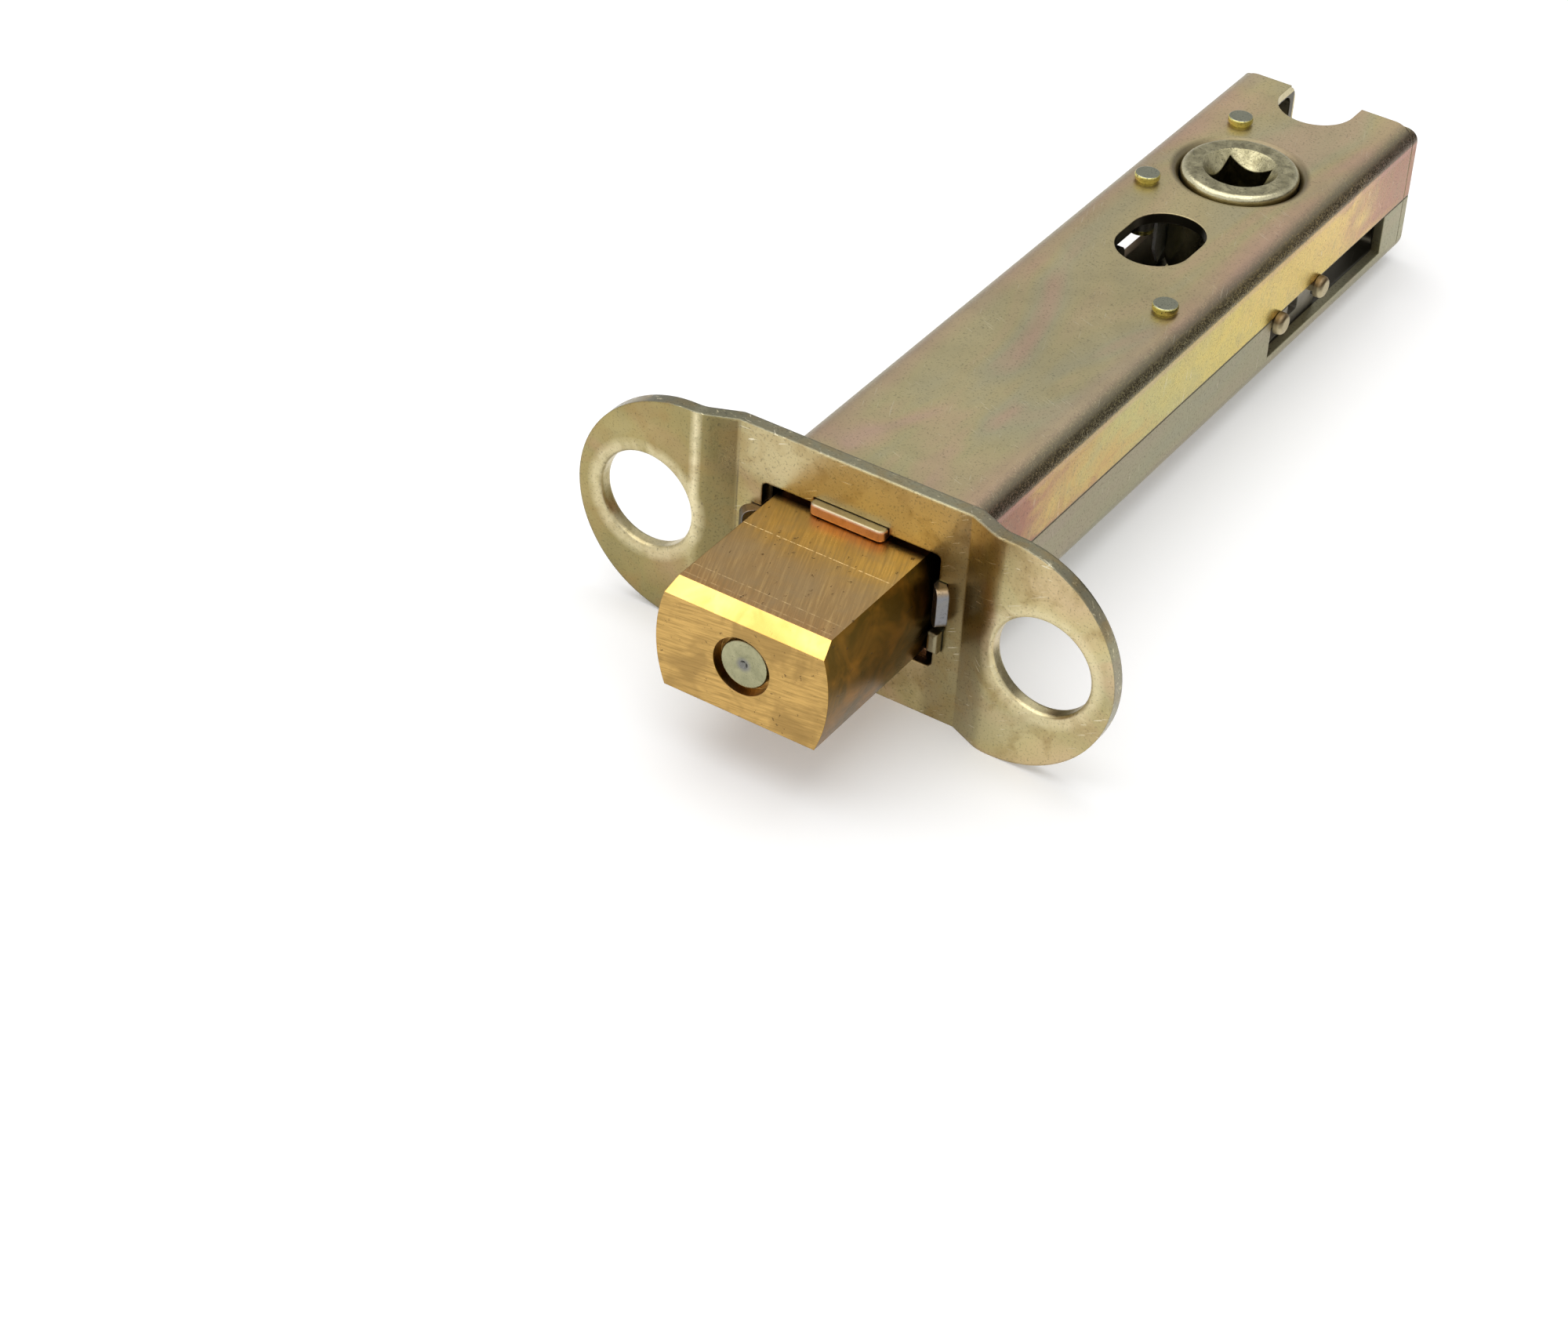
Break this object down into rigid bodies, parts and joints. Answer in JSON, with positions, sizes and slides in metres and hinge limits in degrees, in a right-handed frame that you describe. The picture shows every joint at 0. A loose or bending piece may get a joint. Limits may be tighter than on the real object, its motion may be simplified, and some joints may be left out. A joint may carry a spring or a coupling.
{
  "type": "tubular deadbolt",
  "caption": "Tubular deadbolt for a bored timber door: a flat case between two folded covers, a forend flange with fixing holes, a brass bolt drawn by a turning square-bored follower.",
  "frame": {"origin": "midway between the centres of the two fixing holes, on the front plane of the flange's ears", "axes": "+Y runs into the door along the case, +Z leaves the case through its upper cover along the spindle, +X runs along the flange"},
  "size_m": [0.0608, 0.119, 0.025],
  "materials": {
    "passivated_flange": "zinc plated and yellow passivated sheet, satin with light scratches",
    "passivated_upper_cover": "zinc plated and yellow passivated sheet, satin, with a pale rainbow sheen",
    "passivated_lower_cover": "zinc plated and yellow passivated sheet, duller and greyer",
    "guide_steel": "plain formed strip",
    "bolt_brass": "drawn brass, fine brush lines, bright sawn nose",
    "stem_steel": "passivated steel pin",
    "washer_steel": "plain washer",
    "slide_steel": "blue-grey folded strip, satin",
    "follower_metal": "cast or sintered metal, dull gold-grey, smooth",
    "spring_steel": "hardened spring strip",
    "rivet_steel": "pressed rivet head, polished by the setting tool",
    "sleeve_steel": "turned tube",
    "stud_steel": "turned stud, bright cream-gold face"
  },
  "bodies": {
    "case": {"forend_flange": "passivated_flange", "upper_case_cover": "passivated_upper_cover", "lower_case_cover": "passivated_lower_cover", "upper_bolt_guide": "guide_steel", "lower_bolt_guide": "guide_steel", "case_rivet_front": "rivet_steel", "case_rivet_side": "rivet_steel", "case_rivet_rear": "rivet_steel", "spacer_sleeve_front": "sleeve_steel", "spacer_sleeve_side": "sleeve_steel", "spacer_sleeve_rear": "sleeve_steel", "hub_brake_spring": "spring_steel"},
    "bolt": {"brass_bolt": "bolt_brass", "bolt_stem": "stem_steel", "stem_washer": "washer_steel", "drive_slide": "slide_steel", "guide_stud_front_right": "stud_steel", "guide_stud_rear_right": "stud_steel", "guide_stud_front_left": "stud_steel", "guide_stud_rear_left": "stud_steel"},
    "hub": {"follower_hub": "follower_metal"}
  },
  "joints": [
    {"name": "bolt_slide", "type": "slide", "parent": "case", "child": "bolt", "axis": [0, 1, 0], "range_m": [0, 0.0152]},
    {"name": "hub_turn", "type": "hinge", "parent": "case", "child": "hub", "pos_m": [0, 0.0802, 0], "axis": [0, 0, 1], "range_deg": [0, 96]}
  ],
  "couplings": [
    {"joint": "hub_turn", "follows": "bolt_slide", "rad_per_m": 110.23}
  ]
}
